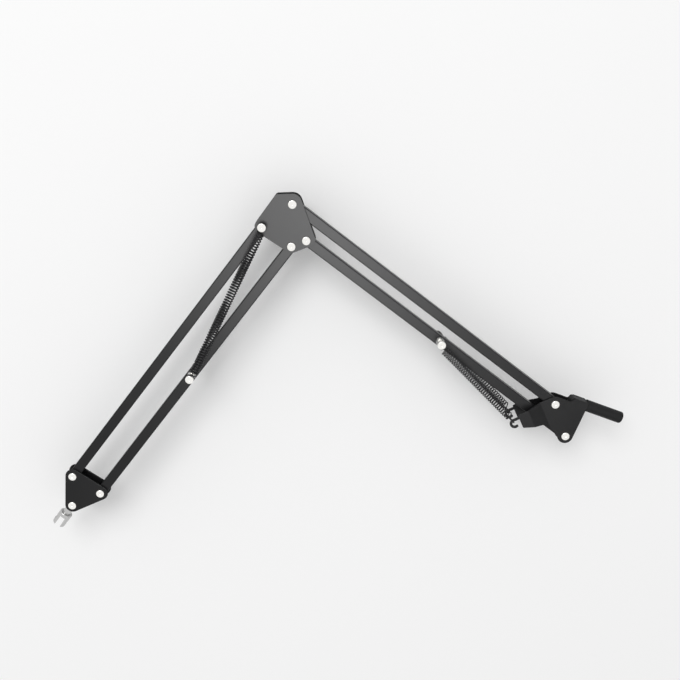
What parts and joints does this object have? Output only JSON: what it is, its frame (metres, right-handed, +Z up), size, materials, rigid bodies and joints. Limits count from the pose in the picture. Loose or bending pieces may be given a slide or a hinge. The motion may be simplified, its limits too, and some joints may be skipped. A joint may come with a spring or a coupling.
{
  "type": "microphone boom arm",
  "caption": "Spring-balanced desk boom arm for a microphone: parallel square-tube sections with plate elbow and head, extension springs, a clip fork and a round mounting post.",
  "frame": {"origin": "on the post's axis at its shoulder, where the round post leaves the yoke", "axes": "+Z up, against the way the post points; the arm folds in the XZ plane; -X is the way the upper section reaches; -Y is the front as pictured"},
  "size_m": [0.4173, 0.0434, 0.5148],
  "materials": {
    "black_powder_coat": "satin",
    "bright_nickel": "polished",
    "black_spring_wire": "semi-gloss",
    "nylon": "matte",
    "plain_steel": "satin"
  },
  "bodies": {
    "base": {"yoke_cheek_front": "black_powder_coat", "yoke_cheek_back": "black_powder_coat", "post": "black_powder_coat", "base_rivets": "bright_nickel", "base_washers": "nylon"},
    "lower_upper_bar": {"lower_arm_upper_tube": "black_powder_coat", "lower_arm_upper_bushes": "plain_steel"},
    "lower_lower_bar": {"lower_arm_lower_tube": "black_powder_coat", "lower_arm_lower_bushes": "plain_steel", "lower_spring_pin": "bright_nickel", "lower_spring_pin_collars": "bright_nickel"},
    "lower_springs": {"lower_spring_front": "black_spring_wire", "lower_spring_back": "black_spring_wire"},
    "elbow": {"elbow_plate_front": "black_powder_coat", "elbow_plate_back": "black_powder_coat", "elbow_rivets": "bright_nickel", "elbow_spring_pin": "bright_nickel", "elbow_washers": "nylon"},
    "upper_upper_bar": {"upper_arm_upper_tube": "black_powder_coat", "upper_arm_upper_bushes": "plain_steel"},
    "upper_lower_bar": {"upper_arm_lower_tube": "black_powder_coat", "upper_arm_lower_bushes": "plain_steel", "upper_spring_pin": "bright_nickel", "upper_spring_pin_collars": "bright_nickel"},
    "upper_springs": {"upper_spring_front": "black_spring_wire", "upper_spring_back": "black_spring_wire"},
    "head": {"head_plate_front": "black_powder_coat", "head_plate_back": "black_powder_coat", "head_rivets": "bright_nickel", "head_washers": "nylon", "fork_rivet": "bright_nickel", "fork_washers": "nylon"},
    "fork": {"microphone_fork": "bright_nickel"}
  },
  "joints": [
    {"name": "lower_arm", "type": "hinge", "parent": "base", "child": "lower_upper_bar", "pos_m": [-0.0082, 0, 0.03178], "axis": [0, -1, 0], "range_deg": [-15, 60]},
    {"name": "lower_bar_follow", "type": "hinge", "parent": "base", "child": "lower_lower_bar", "pos_m": [-0.03607, 0, 0.0079], "axis": [0, -1, 0], "range_deg": [-15.5, 60.5], "deforming": ["lower_spring_front", "lower_spring_back"]},
    {"name": "lower_spring_swing", "type": "hinge", "parent": "base", "child": "lower_springs", "pos_m": [-0.03942, 0, 0.06406], "axis": [0, -1, 0], "range_deg": [-23, 87], "deforming": ["lower_spring_front", "lower_spring_back"]},
    {"name": "elbow_level", "type": "hinge", "parent": "lower_upper_bar", "child": "elbow", "pos_m": [0.08883, 0, 0.3472], "axis": [0, -1, 0], "range_deg": [-60.5, 15.5]},
    {"name": "upper_arm", "type": "hinge", "parent": "elbow", "child": "upper_upper_bar", "pos_m": [0.05943, 0, 0.3669], "axis": [0, -1, 0], "range_deg": [-35, 35], "deforming": ["upper_spring_front", "upper_spring_back"]},
    {"name": "upper_bar_follow", "type": "hinge", "parent": "elbow", "child": "upper_lower_bar", "pos_m": [0.0507, 0, 0.33476], "axis": [0, -1, 0], "range_deg": [-35.5, 35.5], "deforming": ["upper_spring_front", "upper_spring_back"]},
    {"name": "upper_spring_stretch", "type": "slide", "parent": "upper_lower_bar", "child": "upper_springs", "axis": [0.965, 0, -0.2622], "range_m": [-0.0205, 0.0205], "deforming": ["upper_spring_front", "upper_spring_back"]},
    {"name": "head_level", "type": "hinge", "parent": "upper_upper_bar", "child": "head", "pos_m": [-0.25494, 0, 0.46723], "axis": [0, -1, 0], "range_deg": [-35.5, 35.5]},
    {"name": "fork_tilt", "type": "hinge", "parent": "head", "child": "fork", "pos_m": [-0.28714, 0, 0.45872], "axis": [0, -1, 0], "range_deg": [-80, 80]}
  ],
  "couplings": [
    {"joint": "lower_bar_follow", "follows": "lower_arm", "ratio": 1},
    {"joint": "lower_spring_swing", "follows": "lower_arm", "ratio": 1.43},
    {"joint": "elbow_level", "follows": "lower_arm", "ratio": -1},
    {"joint": "upper_bar_follow", "follows": "upper_arm", "ratio": 1},
    {"joint": "upper_spring_stretch", "follows": "upper_arm", "m_per_rad": 0.0323},
    {"joint": "head_level", "follows": "upper_arm", "ratio": -1}
  ]
}
